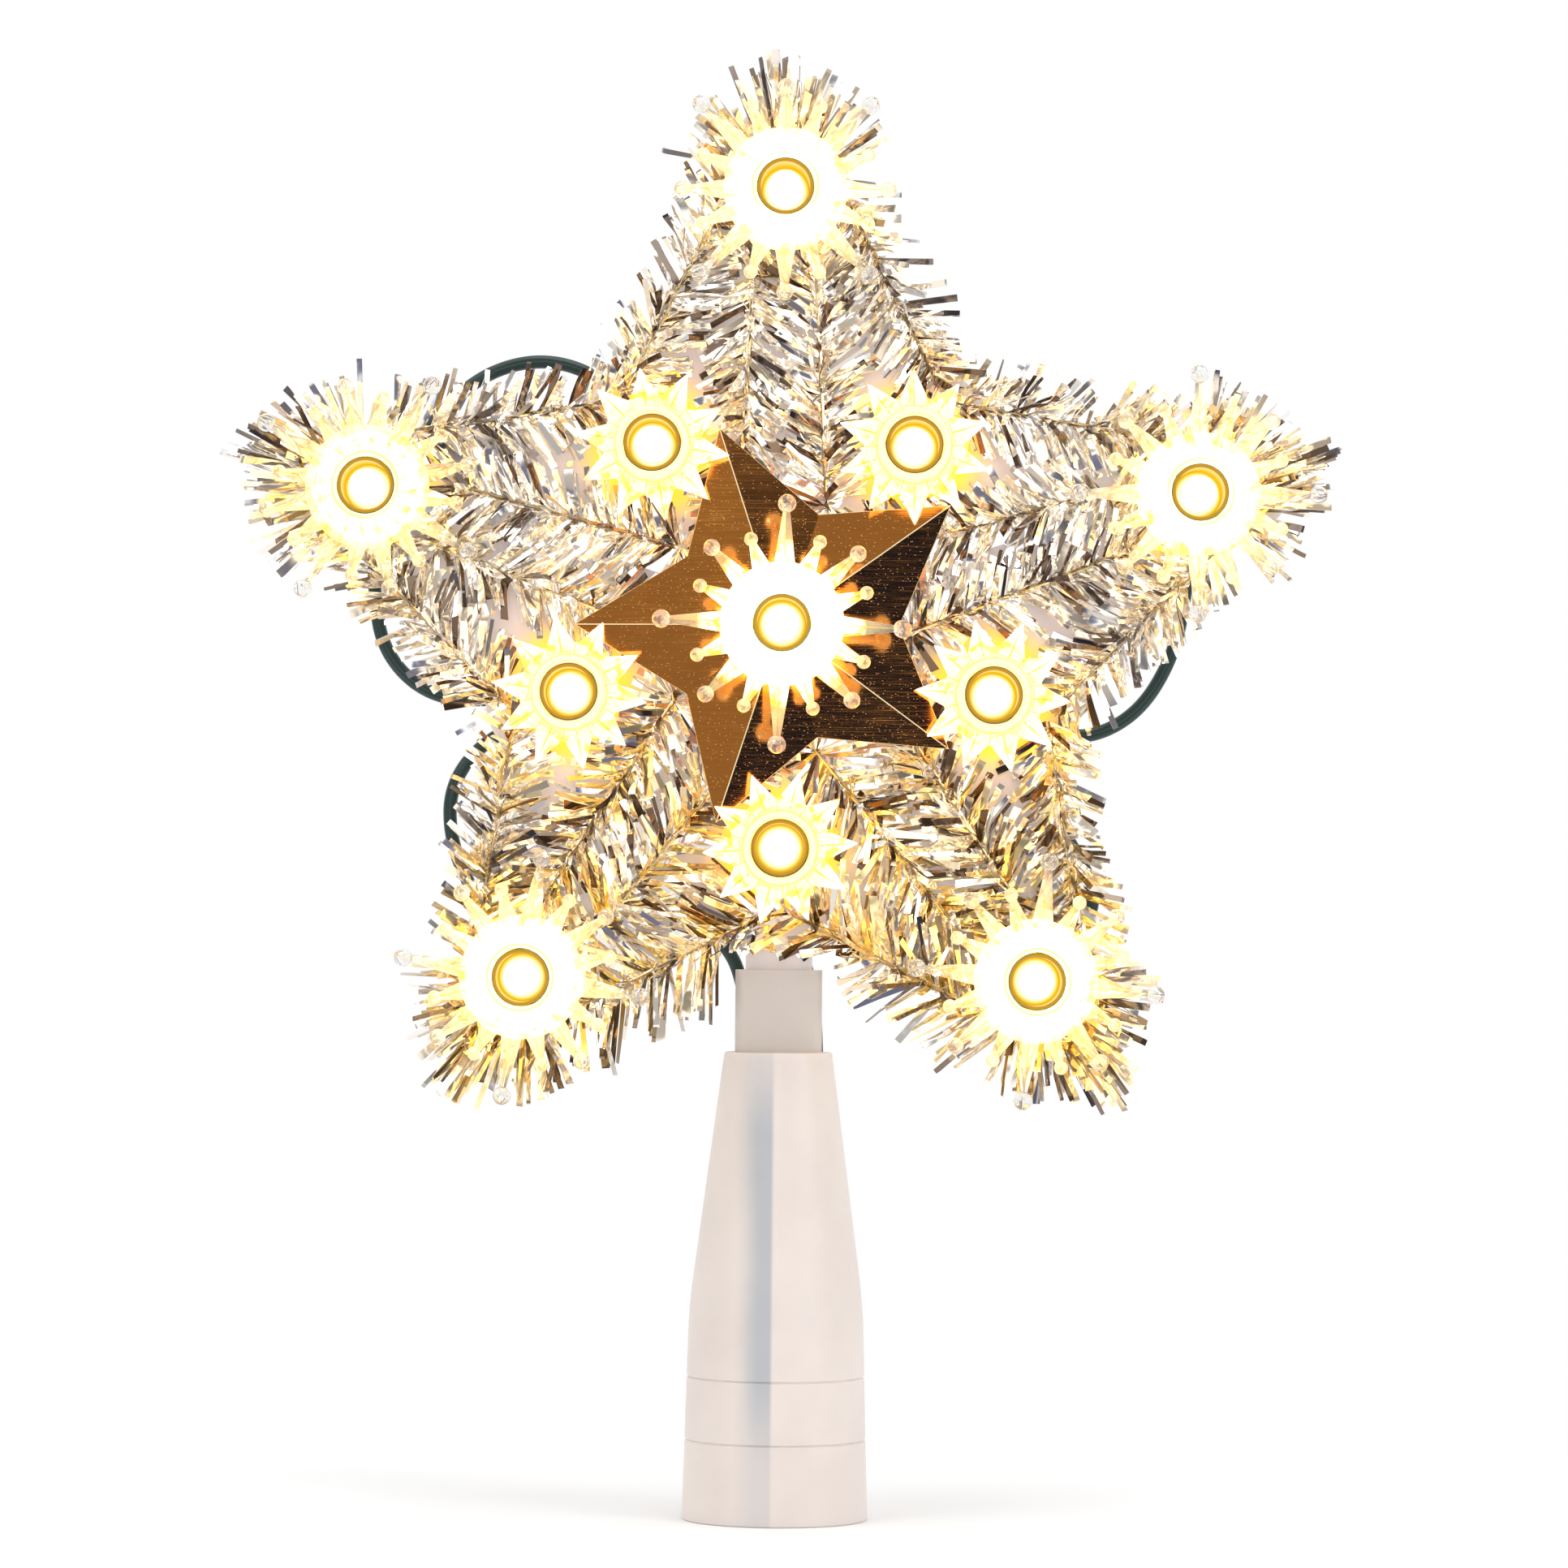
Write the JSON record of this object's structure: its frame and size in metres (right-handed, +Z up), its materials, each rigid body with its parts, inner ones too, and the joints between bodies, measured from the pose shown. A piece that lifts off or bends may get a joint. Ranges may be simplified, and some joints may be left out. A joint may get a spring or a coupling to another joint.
{
  "type": "christmas tree topper star",
  "caption": "Lighted tinsel star tree topper with clear reflectors round its lamps, a gold foil star and a translucent cone that slips over the tree's top.",
  "frame": {"origin": "centre of the cone's open mouth, on the cone's axis", "axes": "+Z up along the cone towards the star's top point, the star faces -Y, +X to the viewer's right"},
  "size_m": [0.188, 0.0477, 0.252],
  "materials": {
    "natural_plastic": "uncoloured translucent moulding, slightly milky",
    "gold_foil": "gold metallised sheet, finely embossed",
    "silver_foil": "bright metallised film",
    "clear_plastic": "clear polished moulding",
    "lamp_glass": "clear glass, lit",
    "lamp_base": "amber moulding",
    "green_plastic": "dark green moulding",
    "lead_sheath": "dark green soft sheath",
    "contact_metal": "stamped strip"
  },
  "bodies": {
    "base": {"tree_cone": "natural_plastic", "neck_socket": "natural_plastic"},
    "star": {"star_frame": "natural_plastic", "foil_star": "gold_foil", "tinsel_outer": "silver_foil", "tinsel_inner": "silver_foil", "lamp_lead": "lead_sheath", "holder_contacts": "contact_metal", "lamp_holder_centre": "green_plastic", "lamp_holder_tip_1": "green_plastic", "lamp_holder_notch_1": "green_plastic", "lamp_holder_tip_2": "green_plastic", "lamp_holder_notch_2": "green_plastic", "lamp_holder_tip_3": "green_plastic", "lamp_holder_notch_3": "green_plastic", "lamp_holder_tip_4": "green_plastic", "lamp_holder_notch_4": "green_plastic", "lamp_holder_tip_5": "green_plastic", "lamp_holder_notch_5": "green_plastic"},
    "lamp_centre": {"bulb_glass_centre": "lamp_glass", "bulb_base_centre": "lamp_base"},
    "reflector_centre": {"reflector_centre": "clear_plastic"},
    "lamp_tip_1": {"bulb_glass_tip_1": "lamp_glass", "bulb_base_tip_1": "lamp_base"},
    "reflector_tip_1": {"reflector_tip_1": "clear_plastic"},
    "lamp_notch_1": {"bulb_glass_notch_1": "lamp_glass", "bulb_base_notch_1": "lamp_base"},
    "reflector_notch_1": {"reflector_notch_1": "clear_plastic"},
    "lamp_tip_2": {"bulb_glass_tip_2": "lamp_glass", "bulb_base_tip_2": "lamp_base"},
    "reflector_tip_2": {"reflector_tip_2": "clear_plastic"},
    "lamp_notch_2": {"bulb_glass_notch_2": "lamp_glass", "bulb_base_notch_2": "lamp_base"},
    "reflector_notch_2": {"reflector_notch_2": "clear_plastic"},
    "lamp_tip_3": {"bulb_glass_tip_3": "lamp_glass", "bulb_base_tip_3": "lamp_base"},
    "reflector_tip_3": {"reflector_tip_3": "clear_plastic"},
    "lamp_notch_3": {"bulb_glass_notch_3": "lamp_glass", "bulb_base_notch_3": "lamp_base"},
    "reflector_notch_3": {"reflector_notch_3": "clear_plastic"},
    "lamp_tip_4": {"bulb_glass_tip_4": "lamp_glass", "bulb_base_tip_4": "lamp_base"},
    "reflector_tip_4": {"reflector_tip_4": "clear_plastic"},
    "lamp_notch_4": {"bulb_glass_notch_4": "lamp_glass", "bulb_base_notch_4": "lamp_base"},
    "reflector_notch_4": {"reflector_notch_4": "clear_plastic"},
    "lamp_tip_5": {"bulb_glass_tip_5": "lamp_glass", "bulb_base_tip_5": "lamp_base"},
    "reflector_tip_5": {"reflector_tip_5": "clear_plastic"},
    "lamp_notch_5": {"bulb_glass_notch_5": "lamp_glass", "bulb_base_notch_5": "lamp_base"},
    "reflector_notch_5": {"reflector_notch_5": "clear_plastic"}
  },
  "joints": [
    {"name": "star_lift", "type": "slide", "parent": "base", "child": "star", "axis": [0, 0, 1], "range_m": [0, 0.021]},
    {"name": "lamp_pull_centre", "type": "slide", "parent": "star", "child": "lamp_centre", "axis": [0, -1, 0], "range_m": [0, 0.022]},
    {"name": "reflector_turn_centre", "type": "hinge", "parent": "star", "child": "reflector_centre", "pos_m": [0, -0.01092, 0.154], "axis": [0, -1, 0], "continuous": true},
    {"name": "lamp_pull_tip_1", "type": "slide", "parent": "star", "child": "lamp_tip_1", "axis": [0, -1, 0], "range_m": [0, 0.022]},
    {"name": "reflector_turn_tip_1", "type": "hinge", "parent": "star", "child": "reflector_tip_1", "pos_m": [0, -0.005, 0.229], "axis": [0, -1, 0], "continuous": true},
    {"name": "lamp_pull_notch_1", "type": "slide", "parent": "star", "child": "lamp_notch_1", "axis": [0, -1, 0], "range_m": [0, 0.022]},
    {"name": "reflector_turn_notch_1", "type": "hinge", "parent": "star", "child": "reflector_notch_1", "pos_m": [0.02245, -0.005, 0.1849], "axis": [0, -1, 0], "continuous": true},
    {"name": "lamp_pull_tip_2", "type": "slide", "parent": "star", "child": "lamp_tip_2", "axis": [0, -1, 0], "range_m": [0, 0.022]},
    {"name": "reflector_turn_tip_2", "type": "hinge", "parent": "star", "child": "reflector_tip_2", "pos_m": [0.07133, -0.005, 0.17718], "axis": [0, -1, 0], "continuous": true},
    {"name": "lamp_pull_notch_2", "type": "slide", "parent": "star", "child": "lamp_notch_2", "axis": [0, -1, 0], "range_m": [0, 0.022]},
    {"name": "reflector_turn_notch_2", "type": "hinge", "parent": "star", "child": "reflector_notch_2", "pos_m": [0.03633, -0.005, 0.1422], "axis": [0, -1, 0], "continuous": true},
    {"name": "lamp_pull_tip_3", "type": "slide", "parent": "star", "child": "lamp_tip_3", "axis": [0, -1, 0], "range_m": [0, 0.022]},
    {"name": "reflector_turn_tip_3", "type": "hinge", "parent": "star", "child": "reflector_tip_3", "pos_m": [0.04408, -0.005, 0.09332], "axis": [0, -1, 0], "continuous": true},
    {"name": "lamp_pull_notch_3", "type": "slide", "parent": "star", "child": "lamp_notch_3", "axis": [0, -1, 0], "range_m": [0, 0.022]},
    {"name": "reflector_turn_notch_3", "type": "hinge", "parent": "star", "child": "reflector_notch_3", "pos_m": [0, -0.005, 0.1158], "axis": [0, -1, 0], "continuous": true},
    {"name": "lamp_pull_tip_4", "type": "slide", "parent": "star", "child": "lamp_tip_4", "axis": [0, -1, 0], "range_m": [0, 0.022]},
    {"name": "reflector_turn_tip_4", "type": "hinge", "parent": "star", "child": "reflector_tip_4", "pos_m": [-0.04408, -0.005, 0.09332], "axis": [0, -1, 0], "continuous": true},
    {"name": "lamp_pull_notch_4", "type": "slide", "parent": "star", "child": "lamp_notch_4", "axis": [0, -1, 0], "range_m": [0, 0.022]},
    {"name": "reflector_turn_notch_4", "type": "hinge", "parent": "star", "child": "reflector_notch_4", "pos_m": [-0.03633, -0.005, 0.1422], "axis": [0, -1, 0], "continuous": true},
    {"name": "lamp_pull_tip_5", "type": "slide", "parent": "star", "child": "lamp_tip_5", "axis": [0, -1, 0], "range_m": [0, 0.022]},
    {"name": "reflector_turn_tip_5", "type": "hinge", "parent": "star", "child": "reflector_tip_5", "pos_m": [-0.07133, -0.005, 0.17718], "axis": [0, -1, 0], "continuous": true},
    {"name": "lamp_pull_notch_5", "type": "slide", "parent": "star", "child": "lamp_notch_5", "axis": [0, -1, 0], "range_m": [0, 0.022]},
    {"name": "reflector_turn_notch_5", "type": "hinge", "parent": "star", "child": "reflector_notch_5", "pos_m": [-0.02245, -0.005, 0.1849], "axis": [0, -1, 0], "continuous": true}
  ]
}
